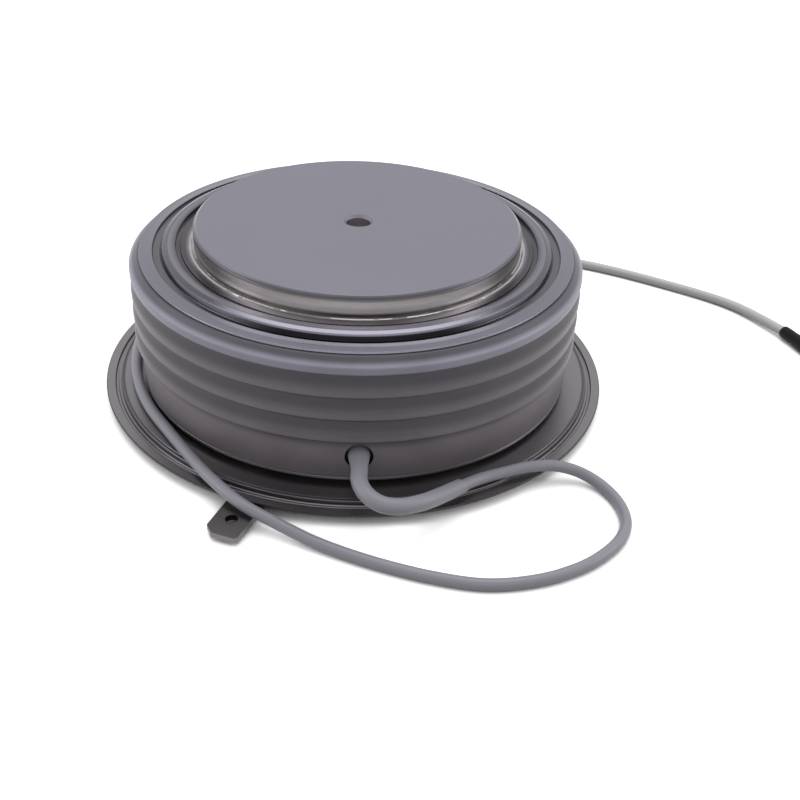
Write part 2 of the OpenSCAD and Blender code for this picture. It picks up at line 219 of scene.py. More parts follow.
def ring_frames(path, start, finish):
    """A tangent, a side and an up vector for each point, turned as little as possible."""
    tangents = [start]
    for i in range(1, len(path) - 1):
        tangents.append((path[i + 1] - path[i - 1]).normalized())
    tangents.append(finish)
    side = tangents[0].cross(Vector((0, 0, 1))).normalized()
    frames = []
    for tangent in tangents:
        side = (side - tangent * side.dot(tangent)).normalized()
        frames.append((tangent, side, side.cross(tangent)))
    return frames


# ---------------------------------------------------------------- the lead

LEAD_D = 1.6
LEAD_GAP = 0.5
GATE_Z = 7.0
TUBE_TIP_R = 35.2
MOUTH_R = 31.1
SLEEVE_D = 2.2
SLEEVE_GAP = 0.25
SLEEVE_END = 7
SLEEVE_MOUTH_D = 3.06
SLEEVE_BORE_R = 0.83
SLEEVE_MOUTH_BORE_R = 1.01
END_SLEEVE_D = 2.5
END_SLEEVE_L = 14
END_HEADING = math.radians(-68)
ROUTE = [Vector(p) for p in (
    (0, -TUBE_TIP_R, GATE_Z), (0, -37.3, 6.7), (0.9, -39.4, 6.3), (2.7, -40.8, 5.9),
    (5.1, -40.9, 5.6), (8, -39.4, 5.1), (10.9, -36.6, 4.2), (13.6, -34, 3.6),
    (16.5, -31.9, 3.3), (19.5, -30.5, 3.2), (23.4, -29.1, 3.2), (27, -28.2, 2.7),
    (30.4, -28.2, 1.7), (33.2, -30.2, 1), (34.9, -33.8, 0.8), (35.1, -37.8, 0.8),
    (33.8, -41.2, 0.8), (31.1, -44.3, 0.8), (27.4, -47, 0.8), (22, -49.2, 0.8),
    (15.5, -50, 0.8), (9, -48.7, 0.8), (2, -46.1, 0.8), (-5, -42.7, 1),
    (-10.5, -39.6, 1.8), (-15.3, -36.6, 2.7), (-19.4, -32.1, 3.2), (-22.6, -27.3, 3.2),
    (-26.2, -21.4, 3.2), (-29.8, -15, 3.2), (-32.2, -8.6, 3.2), (-33.6, -1.5, 3.2),
    (-33.6, 7, 3.2), (-31, 17, 3.2), (-25, 26.5, 3.2), (-16, 34.3, 3.1),
    (-10, 37.8, 2.6), (-4, 40.3, 1.8), (10, 43.6, 0.9), (26, 43.8, 0.8),
    (43.4, 37.9, 0.8), (57, 30.2, 0.8), (67, 22.4, 0.9), (72.9, 12.6, END_SLEEVE_D / 2))]
SLEEVE_HEADING = (ROUTE[SLEEVE_END + 1] - ROUTE[SLEEVE_END - 1]).normalized()
END_DIRECTION = Vector((math.cos(END_HEADING), math.sin(END_HEADING), 0))


def lead_path():
    return spline(ROUTE, 0, len(ROUTE) - 1, LEAD_GAP)


def make_lead():
    """The insulated lead as a round rod along its whole route."""
    sides = 24
    path = lead_path()
    frames = ring_frames(path, (path[1] - path[0]).normalized(), END_DIRECTION)
    points = []
    for place, (_, side, up) in zip(path, frames):
        for k in range(sides):
            angle = step_angle(k, sides)
            points.append(place + (side * math.cos(angle) + up * math.sin(angle)) * LEAD_D / 2)
    return mesh_piece("gate_lead_cord", points, rod_faces(len(path), sides))


def make_sleeve():
    """The thick sleeve: wide on the gate tube, thin-walled, a little ragged at its end."""
    sides, straight_steps = 28, 10
    edge, thinning, thin_length, rag_length = 0.12, 0.05, 2.5, 1.2
    taper = TUBE_TIP_R - MOUTH_R
    straight = [Vector((0, -MOUTH_R - k * taper / straight_steps, GATE_Z))
                for k in range(straight_steps)]
    path = straight + spline(ROUTE, 0, SLEEVE_END, SLEEVE_GAP)
    frames = ring_frames(path, Vector((0, -1, 0)), SLEEVE_HEADING)
    length = [0]
    for a, b in zip(path, path[1:]):
        length.append(length[-1] + (b - a).length)
    whole, last = length[-1], len(path) - 1

    def outer(s):
        if s < taper:
            t = s / taper
            wide = SLEEVE_MOUTH_D / 2
            return wide + (SLEEVE_D / 2 - wide) * t * t * (3 - 2 * t)
        return SLEEVE_D / 2 - thinning * min(1, max(0, (s - whole + thin_length) / thin_length))

    def inner(s):
        return SLEEVE_MOUTH_BORE_R if s < taper - 0.1 else SLEEVE_BORE_R

    rings = [(i, outer(s)) for i, s in enumerate(length)]
    rings[0] = (0, outer(0) - edge)
    rings[-1] = (last, outer(whole) - thinning)
    rings += [(i, inner(length[i])) for i in range(last, -1, -1)]
    points = []
    for i, radius in rings:
        tangent, side, up = frames[i]
        near_end = max(0, 1 - (whole - length[i]) / rag_length)
        for k in range(sides):
            angle = step_angle(k, sides)
            out = side * math.cos(angle) + up * math.sin(angle)
            rag = 0.22 * math.sin(angle * 2 + 1) + 0.1 * math.sin(angle * 5)
            swell = 1 + 0.012 * noise.noise(path[i] * 0.9 + out * 0.7)
            points.append(path[i] + out * (radius * swell) + tangent * (rag * near_end))
    return mesh_piece("gate_thick_sleeve", points, ring_faces(len(rings), sides, closed=True))


def make_end_sleeve():
    """Shrunk tubing: tight on the lead, wider over the crimp, with soft ends."""
    mouth, bore_r = END_SLEEVE_L - 1.5, 0.7
    profile = [Vector(p) for p in (
        (0, 0), (0.9, 0), (0.98, 0.05), (1.02, 0.25), (1.05, 1.2), (1.04, 2.6), (1.1, 3.6),
        (1.19, 4.5), (1.24, 5.4), (1.25, 6.6), (1.22, 7.6), (1.24, 8.8), (1.25, 10.2),
        (1.23, 11.6), (1.25, 12.8), (1.25, 13.6), (1.22, 13.9), (1.12, END_SLEEVE_L),
        (bore_r, END_SLEEVE_L), (bore_r, mouth), (0, mouth))]
    piece = lathe("lead_shrink_sleeve", profile, closed=False, segments=40)
    turn = END_DIRECTION.to_track_quat("Z", "Y").to_matrix()
    for vertex in piece.data.vertices:
        vertex.co = turn @ vertex.co + ROUTE[-1] * MM
    clean_mesh(piece.data)
    return piece


def make_terminal():
    """A push-on terminal: a flat floor whose edges roll over and inwards."""
    half, high, wall, length, curl, lip = 1.8, 1.3, 0.32, 7.0, 1.25, 0.62
    outline = rounded([(-half, -high / 2, 0.5), (half, -high / 2, 0.5), (half, high / 2, 0.5),
                       (half - curl, high / 2, 0.1), (half - curl, high / 2 - wall, 0.1),
                       (half - wall, high / 2 - wall, 0.3), (half - wall, -high / 2 + wall, 0.2),
                       (-half + wall, -high / 2 + wall, 0.2),
                       (-half + wall, high / 2 - wall, 0.3),
                       (-half + curl, high / 2 - wall, 0.1), (-half + curl, high / 2, 0.1),
                       (-half, high / 2, 0.5)], steps=4)
    side = Vector((-END_DIRECTION.y, END_DIRECTION.x, 0))
    base = ROUTE[-1] + END_DIRECTION * END_SLEEVE_L
    stations = [(0, 1), (0.3, 1), (length - lip, 1), (length - 0.2, 1), (length, 0.97)]
    points = []
    for along, scale in stations:
        for p in outline:
            points.append(base + END_DIRECTION * along + side * (p.x * scale)
                          + Vector((0, 0, p.y * scale)))
    caps = [list(t) for t in tessellate_polygon([[Vector((p.x, p.y, 0)) for p in outline]])]
    top = len(points) - len(outline)
    faces = ring_faces(len(stations), len(outline)) + caps
    faces += [[v + top for v in reversed(t)] for t in caps]
    return mesh_piece("lead_push_terminal", points, faces)


# ---------------------------------------------------------------- the capsule

FACE_R = 23.3
POLE_R = 23.8
SHOULDER_R = 24.9
TOP_Z = 26.0
COLLAR_Z = 23.0
SHEET_TOP = 23.35
CERAMIC_TOP = 22.1
CERAMIC_LOW = 3.6
FOLD_Z = 22.3
RIBS = 4
RIB_R = 33.1
RIB_DEPTH = 0.55
RIB_PITCH = 3.4
RIB_LIP = 0.3
RIB_LOW = 0.46
FIRST_CREST_Z = CERAMIC_TOP - 1.0
BASE_R = 32.3
TAB_TURN = math.radians(-90 - 23.1)
TAB_HOLE_AT = 41.6
TAB_HOLE_R = 0.8


def make_anode_pole():
    corners = [(0, 24.05, 0), (1.1, 24.0, 0.1), (1.75, 24.0, 0.05), (1.75, 25.6, 0.04),
               (2.2, TOP_Z, 0.05), (FACE_R, TOP_Z, 0.05), (POLE_R, TOP_Z - 0.42, 0.12),
               (POLE_R, 22.4, 0), (SHOULDER_R, 22.4, 0.1), (SHOULDER_R, 21, 0.1),
               (POLE_R, 21, 0.05), (POLE_R, 15, 0.1), (0, 15, 0)]
    profile = supported(rounded(corners, closed=False), closed=False)
    return lathe("anode_contact_pole", profile, closed=False)


def make_anode_sheet():
    """From the pole outwards: collar, step, ridge, fold, bead and rim, then back below."""
    corners = [(POLE_R + 0.01, COLLAR_Z, 0), (25.65, COLLAR_Z, 0.05), (25.72, 22.8, 0.06),
               (26.3, 22.8, 0.08), (26.38, SHEET_TOP - 0.06, 0.18), (27.7, SHEET_TOP, 0.25),
               (28.3, SHEET_TOP - 0.24, 0.1), (28.65, FOLD_Z, 0.1),
               (29.6, FOLD_Z, 0.1), (29.72, 22.7, 0.1), (30.7, 22.56, 0.3), (31.6, 22.5, 0.09),
               (31.6, 22.11, 0.05), (30.35, 22.11, 0.1), (30.35, FOLD_Z - 0.4, 0.2),
               (28.4, FOLD_Z - 0.4, 0.2), (28.2, 22.8, 0.2), (26.75, 22.8, 0.2), (26.75, 22.4, 0.1),
               (POLE_R + 0.01, 22.4, 0)]
    return lathe("anode_stamped_sheet", supported(rounded(corners)))


def make_braze_seam():
    """Braze metal that ran round the foot of the pole, uneven in width and height."""
    def uneven(angle, i):
        where = Vector((math.cos(angle), math.sin(angle), 0))
        swell = noise.noise(where * 7) + 0.6 * noise.noise(where * 29)
        lift = 0.04 * swell * (i in (2, 3, 4))
        return 0.1 * swell * (i in (3, 4, 5)), max(-0.05, lift)

    profile = [Vector((POLE_R + out, COLLAR_Z + up)) for out, up in (
        (-0.1, -0.1), (-0.03, 0.12), (0.2, 0.07), (0.4, 0.15), (0.54, 0.13), (0.68, 0.01),
        (0.2, -0.1))]
    return lathe("anode_braze_seam", profile, segments=720, move=uneven)


def rib_wave(t):
    """Height of a rib above the groove, from one crest down to the next."""
    if t < RIB_LIP:
        return 1 - 0.06 * (t / RIB_LIP) ** 2
    if t < RIB_LOW:
        return 0.94 * (1 + math.cos(math.pi * (t - RIB_LIP) / (RIB_LOW - RIB_LIP))) / 2
    return (1 - math.cos(math.pi * (t - RIB_LOW) / (1 - RIB_LOW))) / 2


def make_ceramic():
    """From the crown down the ribs to the foot, with the gate's stepped hole in front."""
    steps, crown_steps, inner_r = 32, 4, 28.8
    wall = []
    for i in range(RIBS):
        last = i == RIBS - 1
        low = BASE_R if last else RIB_R - RIB_DEPTH
        for k in range(crown_steps if i == 0 else 0, steps):
            t = k / steps
            if not last or t <= RIB_LOW:
                wall.append(Vector((low + (RIB_R - low) * rib_wave(t),
                                    FIRST_CREST_Z - (i + t) * RIB_PITCH)))
    crown = rounded([(30.4, CERAMIC_TOP, 0), (31.9, CERAMIC_TOP, 0.3), (RIB_R, 21.0, 0.45),
                     (RIB_R, 20.4, 0)], closed=False)[1:-1]
    band = [Vector((BASE_R, z)) for z in (9.2, 8.9, 8.4, 7.9, 7.4, 6.9, 6.4, 5.9, 5.4, 4.9, 4.4, 4)]
    foot = rounded([(BASE_R, 4, 0), (BASE_R, CERAMIC_LOW, 0.2), (inner_r, CERAMIC_LOW, 0)],
                   closed=False)[1:-1]
    inside = [Vector(p) for p in ((inner_r, CERAMIC_LOW), (inner_r, 21.3), (30.36, 21.3),
                                  (30.36, CERAMIC_TOP))]
    ring = lathe("ceramic_ribbed_ring", supported(crown + wall + band + foot + inside),
                 segments=320)
    for radius, near, far in ((1.9, 30.7, 35), (1.02, 28, 31)):
        cut_hole(ring, radius, near, far)
    return ring


def cut_hole(piece, radius, near, far):
    """Cuts a round hole along the gate's axis."""
    sides = 72
    points = []
    for y in (-near, -far):
        for k in range(sides):
            angle = step_angle(k, sides)
            points.append((radius * math.cos(angle), y, GATE_Z + radius * math.sin(angle)))
    cutter = mesh_piece("cutter", points, rod_faces(2, sides))
    change = piece.modifiers.new("hole", "BOOLEAN")
    change.operation = "DIFFERENCE"
    change.solver = "EXACT"
    change.object = cutter
    bpy.context.view_layer.update()
    graph = bpy.context.evaluated_depsgraph_get()
    mesh = bpy.data.meshes.new_from_object(piece.evaluated_get(graph))
    piece.modifiers.clear()
    piece.data = mesh
    clean_mesh(mesh)
    bpy.data.objects.remove(cutter)


def make_flanges():
    upper = [(29.8, 1.91, 0), (35.8, 1.91, 0.05), (35.8, 2.4, 0.16), (35.5, 2.4, 0.03),
             (35.44, 2.34, 0.02), (35.3, 2.34, 0.02), (35.24, 2.4, 0.03), (30.3, 2.4, 0.25),
             (30.3, 3.1, 0.2), (32.28, 3.1, 0.15), (32.28, 3.6, 0.06), (29.8, 3.6, 0.1)]
    low = [(POLE_R + 0.01, 1.4, 0.02), (25.55, 1.4, 0.25), (25.55, 2.0, 0.25), (27.45, 2.0, 0.25),
           (27.45, 1.4, 0.25), (38, 1.4, 0.1), (38, 1.9, 0.1), (36.68, 1.9, 0.08),
           (36.6, 1.56, 0.05), (36.24, 1.56, 0.05), (36.16, 1.89, 0.05), (27.95, 1.89, 0.25),
           (27.95, 2.5, 0.25), (25.05, 2.5, 0.25), (25.05, 1.9, 0.1), (POLE_R + 0.01, 1.9, 0)]
    return (lathe("flange_upper_sheet", supported(rounded(upper, steps=3))),
            lathe("flange_lower_sheet", supported(rounded(low, steps=3))))


def make_tab():
    """The flat tab with its cut corners and hole, welded under the flange."""
    near, far, half, low, top, hole_sides = 34.5, 45.0, 2.4, 0.6, 1.4, 40
    outline = rounded([(near, -half, 0.1), (far - 1.2, -half, 0.15), (far, -half + 1.2, 0.15),
                       (far, half - 0.4, 0.1), (far - 0.4, half, 0.1), (near, half, 0.1)],
                      steps=3)
    hole = [Vector((TAB_HOLE_AT + TAB_HOLE_R * math.cos(step_angle(k, hole_sides)),
                    TAB_HOLE_R * math.sin(step_angle(k, hole_sides))))
            for k in range(hole_sides)]
    loops = [[Vector((p.x, p.y, 0)) for p in loop] for loop in (outline, hole)]
    flat = [list(t) for t in tessellate_polygon(loops)]
    every = [p for loop in loops for p in loop]
    count = len(every)
    points = []
    for z in (low, top):
        for p in every:
            x = p.x * math.cos(TAB_TURN) - p.y * math.sin(TAB_TURN)
            y = p.x * math.sin(TAB_TURN) + p.y * math.cos(TAB_TURN)
            points.append((x, y, z))
    faces = flat + [[v + count for v in reversed(t)] for t in flat]
    start = 0
    for loop in loops:
        size = len(loop)
        for k in range(size):
            a, b = start + k, start + (k + 1) % size
            faces.append([a, b, b + count, a + count])
        start += size
    tab = mesh_piece("cathode_tab", points, faces)
    edge = tab.modifiers.new("edge", "BEVEL")
    edge.width = 0.07 * MM
    edge.segments = 2
    edge.limit_method = "ANGLE"
    edge.angle_limit = math.radians(50)
    return tab


# ---------------------------------------------------------------- materials

def map_range(tree, value, numbers, kind="LINEAR"):
    """Maps a value; numbers are its low and high end and what they become."""
    node = tree.nodes.new("ShaderNodeMapRange")
    node.interpolation_type = kind
    for socket, number in zip(node.inputs[1:5], numbers):
        socket.default_value = number
    tree.links.new(value, node.inputs[0])
    return node.outputs[0]


class Nodes:
    """Builds one material's node tree around its Principled shader."""

    def __init__(self, name, colour, metallic, roughness, **sockets):
        self.material = bpy.data.materials.new(name)
        self.material.use_nodes = True
        self.tree = self.material.node_tree
        self.shader = self.tree.nodes["Principled BSDF"]
        self.shader.inputs["Base Color"].default_value = (*colour, 1)
        self.shader.inputs["Metallic"].default_value = metallic
        self.shader.inputs["Roughness"].default_value = roughness
        for key, value in sockets.items():
            self.shader.inputs[key.replace("_", " ")].default_value = value
        self.colour = colour
        self.roughness = roughness
        self.place = self.add("ShaderNodeTexCoord").outputs["Object"]

    def add(self, kind, **values):
        node = self.tree.nodes.new(kind)
        for key, value in values.items():
            setattr(node, key, value)
        return node

    def link(self, source, target):
        self.tree.links.new(source, target)

    def axes(self):
        split = self.add("ShaderNodeSeparateXYZ")
        self.link(self.place, split.inputs[0])
        return split.outputs

    def height(self):
        return self.axes()[2]

    def distance(self, x, y):
        return self.maths("SQRT", self.maths("ADD", self.both(x, x), self.both(y, y)))

    def radius(self):
        """Distance from the capsule's axis."""
        x, y, _ = self.axes()
        return self.distance(x, y)

    def around(self, per_radius, per_angle, per_height):
        """A vector that runs along radius, angle and height, for turned surfaces."""
        x, y, z = self.axes()
        join = self.add("ShaderNodeCombineXYZ")
        self.link(self.both(self.radius(), per_radius), join.inputs[0])
        self.link(self.both(self.maths("ARCTAN2", y, x), per_angle), join.inputs[1])
        self.link(self.both(z, per_height), join.inputs[2])
        return join.outputs[0]

    def maths(self, operation, *inputs):
        node = self.add("ShaderNodeMath", operation=operation)
        for socket, value in zip(node.inputs, inputs):
            if isinstance(value, (int, float)):
                socket.default_value = value
            else:
                self.link(value, socket)
        return node.outputs[0]

    def both(self, first, second):
        """The product of two values, such as two masks."""
        return self.maths("MULTIPLY", first, second)

    def noise(self, vector, scale, detail=3):
        node = self.add("ShaderNodeTexNoise")
        node.inputs["Scale"].default_value = scale
        node.inputs["Detail"].default_value = detail
        self.link(vector, node.inputs["Vector"])
        return node.outputs["Fac"]

    def ranged(self, value, low, high, new_low, new_high):
        return map_range(self.tree, value, (low, high, new_low, new_high))

    def eased(self, value, low, high):
        """0 to 1 between two values, with a smooth start and end."""
        return map_range(self.tree, value, (low, high, 0, 1), "SMOOTHSTEP")

    def spread_out(self, noise_value, low, high):
        """Maps the middle of a noise's range, where nearly all of it lies."""
        return self.ranged(noise_value, 0.3, 0.7, low, high)

    def band(self, value, rise, fall):
        """1 between two places in millimetres, with a straight ramp at each."""
        return self.both(self.ranged(value, rise[0] * MM, rise[1] * MM, 0, 1),
                         self.ranged(value, fall[0] * MM, fall[1] * MM, 1, 0))

    def soft_band(self, value, rise, fall):
        """The same with smooth ramps."""
        return self.both(self.eased(value, rise[0] * MM, rise[1] * MM),
                         self.eased(value, fall[1] * MM, fall[0] * MM))

    def beside(self):
        """1 a little left and right of the gate's axis, 0 on it and further out."""
        return self.soft_band(self.maths("ABSOLUTE", self.axes()[0]), (3, 9), (11, 16))

    def blend(self, factor, first, second, **values):
        node = self.add("ShaderNodeMix", data_type="RGBA", **values)
        for socket, value in zip((node.inputs[0], node.inputs[6], node.inputs[7]),
                                 (factor, first, second)):
            if isinstance(value, tuple):
                socket.default_value = (*value, 1)
            elif isinstance(value, int):
                socket.default_value = value
            else:
                self.link(value, socket)
        return node.outputs[2]

    def shade(self, factor, low, high, base=None):
        """Colour varied from low times to high times the base colour."""
        base = base or self.colour
        return self.blend(factor, tuple(c * low for c in base), tuple(c * high for c in base))

    def set_colour(self, output):
        self.link(output, self.shader.inputs["Base Color"])

    def set_roughness(self, noise_value, spread):
        low, high = self.roughness - spread, self.roughness + spread
        self.link(self.spread_out(noise_value, low, high), self.shader.inputs["Roughness"])

    def bump(self, height, depth_mm, previous=None):
        node = self.add("ShaderNodeBump")
        node.inputs["Strength"].default_value = 1
        node.inputs["Distance"].default_value = depth_mm * MM
        self.link(height, node.inputs["Height"])
        if previous:
            self.link(previous, node.inputs["Normal"])
        self.link(node.outputs[0], self.shader.inputs["Normal"])
        return node.outputs[0]


class Plate(Nodes):
    """Plated metal with slow patches and, under the plating, fine marks of working."""

    def __init__(self, name, colour, roughness, marks_mm):
        super().__init__(name, colour, 1, roughness)
        self.slow = self.noise(self.place, 90)
        self.plate = self.shade(self.slow, 0.95, 1.05)
        self.set_roughness(self.slow, 0.04)
        self.bump(self.noise(self.around(9000, 3, 9000), 1), marks_mm)


def grainy(name, colour, metallic, roughness, grain=900, shade=0.06, spread=0.05, bump=0.004,
           **sockets):
    """A plain finish with fine grain and slow patches in colour and gloss."""
    made = Nodes(name, colour, metallic, roughness, **sockets)
    fine = made.noise(made.place, grain, 4)
    slow = made.noise(made.place, grain / 12, 2)
    made.set_colour(made.shade(slow, 1 - shade, 1 + shade))
    made.set_roughness(slow, spread)
    made.bump(fine, bump)
    return made.material


NICKEL = (0.230, 0.223, 0.267)
# a dark tone for painted shade and painted dark reflections
PAINTED_DARK = (0.13, 0.122, 0.13)


def pole_material():
    """Nickel plate: a lapped matt face and a turned side, with painted light inside the centre
    hole, a painted highlight on the side in front, painted dark reflections on the chamfer and
    painted shade at the foot of the side.
    """
    made = Nodes("nickel_pole", NICKEL, 1, 0.42)
    slow = made.noise(made.place, 70)
    grain = made.noise(made.place, 5200)
    radius, height = made.radius(), made.height()
    edge = made.ranged(radius, 23.28 * MM, 23.36 * MM, 0, 1)
    flank = made.ranged(radius, 23.6 * MM, 23.7 * MM, 0, 1)

    face = made.shade(slow, 0.97, 1.03)
    # painted dark reflection on the chamfer round the face
    face = made.blend(made.eased(radius, 23.35 * MM, 23.7 * MM), face, PAINTED_DARK)
    # painted light inside the centre hole, which is lighter than the face
    deep = made.ranged(height, 25.65 * MM, 25.4 * MM, 0, 1)
    face = made.blend(deep, face, (0.36, 0.335, 0.35))

    streaks = made.noise(made.around(300, 26, 500), 1)
    turned_side = made.shade(streaks, 0.88, 1.12, (0.36, 0.34, 0.34))
    # painted highlight: the side is bright in front, brightest low down
    bright = made.blend(made.eased(height, 25.1 * MM, 24.4 * MM), (0.64, 0.61, 0.59),
                        (0.97, 0.93, 0.9))
    side = made.blend(made.eased(made.axes()[1], -13 * MM, -20 * MM), turned_side, bright)
    # painted shade at the foot of the side, where it meets the collar, lighter a little left and
    # right of the gate's axis
    foot_shade = made.blend(made.beside(), (0.08, 0.07, 0.068), (0.21, 0.195, 0.19))
    side = made.blend(made.eased(height, 23.35 * MM, 23.85 * MM), foot_shade, side)
    # painted dark reflection at the top of the side, under the chamfer
    side = made.blend(made.eased(height, 25.6 * MM, 25.05 * MM), PAINTED_DARK, side)

    made.set_colour(made.blend(flank, face, side))
    rough = made.ranged(made.maths("MAXIMUM", edge, flank), 0, 1, 0.44, 0.34)
    made.link(rough, made.shader.inputs["Roughness"])
    marks = made.noise(made.around(0, 2, 12000), 1, 2)
    made.bump(made.both(marks, flank), 0.004, made.bump(grain, 0.0022))
    return made.material


def sheet_material():
    """Bright plated sheet, with painted light and shade: a painted dark reflection on the collar,
    painted shade dimming the ridge away from the front, a painted shadow in the fold and a painted
    highlight on the bead. The bead's highlight shows, and the fold's shadow is blackest, in front."""
    made = Plate("nickel_sheet", tuple(c * 0.86 for c in NICKEL), 0.24, 0.0015)
    radius, y = made.radius(), made.axes()[1]
    front = made.eased(y, -22 * MM, -27 * MM)

    collar = made.both(made.soft_band(radius, (24.4, 25.1), (26.0, 27.3)),
                       made.spread_out(made.slow, 0.8, 1))
    # painted dark reflection of the pole's side on the collar, lighter a little left and right of
    # the gate's axis
    collar_reflection = made.blend(made.beside(), (0.042, 0.037, 0.042), (0.14, 0.13, 0.14))
    plate = made.blend(collar, made.plate, collar_reflection)

    # painted shade: the ridge is dimmer away from the front
    ridge = made.both(made.soft_band(radius, (27.4, 27.6), (28.3, 28.8)),
                      made.eased(y, -25 * MM, -19 * MM))
    plate = made.blend(ridge, plate, (0.12, 0.116, 0.136))

    # painted highlight on the bead, in front only
    bead = made.both(made.band(radius, (29.6, 29.7), (30.3, 30.6)), front)
    plate = made.blend(bead, plate, (0.31, 0.30, 0.35))

    # painted shadow in the fold, blackest in front
    fold = made.both(made.band(radius, (28.36, 28.42), (29.6, 29.7)),
                     made.ranged(made.height(), 23.14 * MM, 23.04 * MM, 0, 1))
    fold_shadow = made.blend(front, (0.11, 0.104, 0.12), (0.016, 0.0145, 0.016))
    made.set_colour(made.blend(fold, plate, fold_shadow))
    return made.material


def ceramic_material():
    """Grey ceramic with painted highlights on its crests, brightest on the top one, painted shade
    in its grooves and on the crown's bevel, a band below the ribs painted lighter to make up for
    its shade, and a painted shadow in the gate's hole.
    """
    made = Nodes("ceramic", (0.12, 0.117, 0.132), 0, 0.42, Specular_IOR_Level=0.3)
    slow = made.noise(made.place, 160)
    grain = made.noise(made.place, 900)
    radius, height = made.radius(), made.height()

    top = made.ranged(height, 19.3 * MM, 20.0 * MM, 0, 1)
    along = made.maths("FRACT", made.maths("MULTIPLY_ADD", height, -1 / (RIB_PITCH * MM),
                                           FIRST_CREST_Z / RIB_PITCH + 0.5))
    ribs = made.both(made.eased(along, 0.22, 0.74), made.eased(along, 0.95, 0.82))
    ribs = made.both(ribs, made.eased(height, 8.8 * MM, 9.8 * MM))
    # painted highlights on the crests, brightest on the top crest
    crest = made.blend(top, ribs, made.eased(radius, 32.3 * MM, 33.0 * MM))
    crest_light = made.blend(top, (0.225, 0.204, 0.233), (0.355, 0.35, 0.43))

    # painted shade in the grooves and on the crown's bevel
    deep = made.blend(made.ranged(height, 20.8 * MM, 21.4 * MM, 0, 1),
                      (0.105, 0.095, 0.11), (0.115, 0.11, 0.13))
    # the band below the ribs is painted lighter to make up for its shade, less so towards the foot
    foot = made.blend(made.eased(height, 7.5 * MM, 4.0 * MM), (0.22, 0.198, 0.223),
                      (0.165, 0.148, 0.16))
    deep = made.blend(made.eased(height, 9.4 * MM, 8.0 * MM), deep, foot)

    glaze = made.blend(crest, deep, crest_light)
    # painted shadow in the gate's hole
    bore = made.both(made.ranged(radius, 32.05 * MM, 32.2 * MM, 1, 0),
                     made.ranged(height, 19 * MM, 20 * MM, 1, 0))
    glaze = made.blend(bore, glaze, (0.012, 0.012, 0.013))
    tint = made.shade(made.spread_out(slow, 0, 1), 0.93, 1.07, (1, 1, 1))
    made.set_colour(made.blend(1, glaze, tint, blend_type="MULTIPLY"))
    made.set_roughness(slow, 0.04)
    made.bump(grain, 0.0025)
    return made.material


def flange_material():
    """Plated sheets with painted shade on a ring round the upper sheet's edge, a painted highlight
    on a line near the rim in front, and a dark outer edge.
    """
    made = Plate("nickel_flange", (0.225, 0.212, 0.225), 0.38, 0.002)
    radius = made.radius()
    upper = made.ranged(made.height(), 1.42 * MM, 1.46 * MM, 0, 1)
    # painted shade on a ring round the upper sheet's edge
    step = made.both(made.band(radius, (35.15, 35.25), (35.85, 35.95)), upper)
    plate = made.blend(step, made.plate, PAINTED_DARK)
    # painted highlight on a line near the rim, in front only
    line = made.both(made.band(radius, (36.05, 36.1), (36.26, 36.3)),
                     made.eased(made.axes()[1], -20 * MM, -31 * MM))
    plate = made.blend(made.both(line, upper), plate, (0.45, 0.415, 0.43))
    outer_edge = made.ranged(radius, 37.86 * MM, 37.92 * MM, 0, 1)
    made.set_colour(made.blend(outer_edge, plate, (0.05, 0.045, 0.047)))
    return made.material


def tab_material():
    """Plated sheet with a painted shadow in its punched hole."""
    made = Plate("tab_metal", (0.17, 0.162, 0.163), 0.4, 0.004)
    x, y, _ = made.axes()
    away = made.distance(made.maths("SUBTRACT", x, TAB_HOLE_AT * MM * math.cos(TAB_TURN)),
                         made.maths("SUBTRACT", y, TAB_HOLE_AT * MM * math.sin(TAB_TURN)))
    # painted shadow in the hole, where the floor under the tab shows through
    hole = made.ranged(away, (TAB_HOLE_R + 0.03) * MM, (TAB_HOLE_R + 0.07) * MM, 1, 0)
    made.set_colour(made.blend(hole, made.plate, (0.012, 0.011, 0.011)))
    return made.material


def molybdenum_material():
    made = Plate("molybdenum", (0.4, 0.4, 0.42), 0.4, 0.004)
    made.set_colour(made.plate)
    return made.material


def lead_material():
    """Silicone insulation, with painted light that makes it lighter at its far end than near the
    capsule.
    """
    made = Nodes("insulation", (0.30, 0.292, 0.335), 0, 0.42)
    fine = made.noise(made.place, 500, 4)
    slow = made.noise(made.place, 42, 2)
    x, y, _ = made.axes()
    # painted light: the lead is lighter towards its far end
    far_light = made.eased(made.maths("ADD", x, y), 40 * MM, 75 * MM)
    made.set_colour(made.blend(far_light, made.shade(slow, 0.95, 1.05),
                               made.shade(slow, 0.95, 1.05, (0.58, 0.575, 0.58))))
    made.set_roughness(slow, 0.06)
    made.bump(fine, 0.01)
    return made.material


# colour, metallic and roughness, then any of grain, shade, spread and bump that differ
PLAIN_FINISHES = {
    "braze": ((0.40, 0.385, 0.39), 1, 0.32, 2500, 0.3, 0.1, 0.02),
    # painted shadow: the braze round the gate tube, down in the ceramic's hole, is coloured near
    # black
    "braze_in_shadow": ((0.03, 0.027, 0.026), 1, 0.5, 2500, 0.2),
    "silicon": ((0.05, 0.055, 0.08), 0.6, 0.15),
    "seal_rubber": ((0.02, 0.02, 0.022), 0, 0.6),
    "inner_plastic": ((0.7, 0.69, 0.65), 0, 0.45),
    "gold_contact": ((0.75, 0.55, 0.25), 1, 0.3),
    "spring_steel": ((0.4, 0.4, 0.41), 1, 0.3),
    "plated_wire": ((0.6, 0.59, 0.57), 1, 0.3),
    "terminal_metal": ((0.5, 0.49, 0.47), 1, 0.28, 1200, 0.08),
}


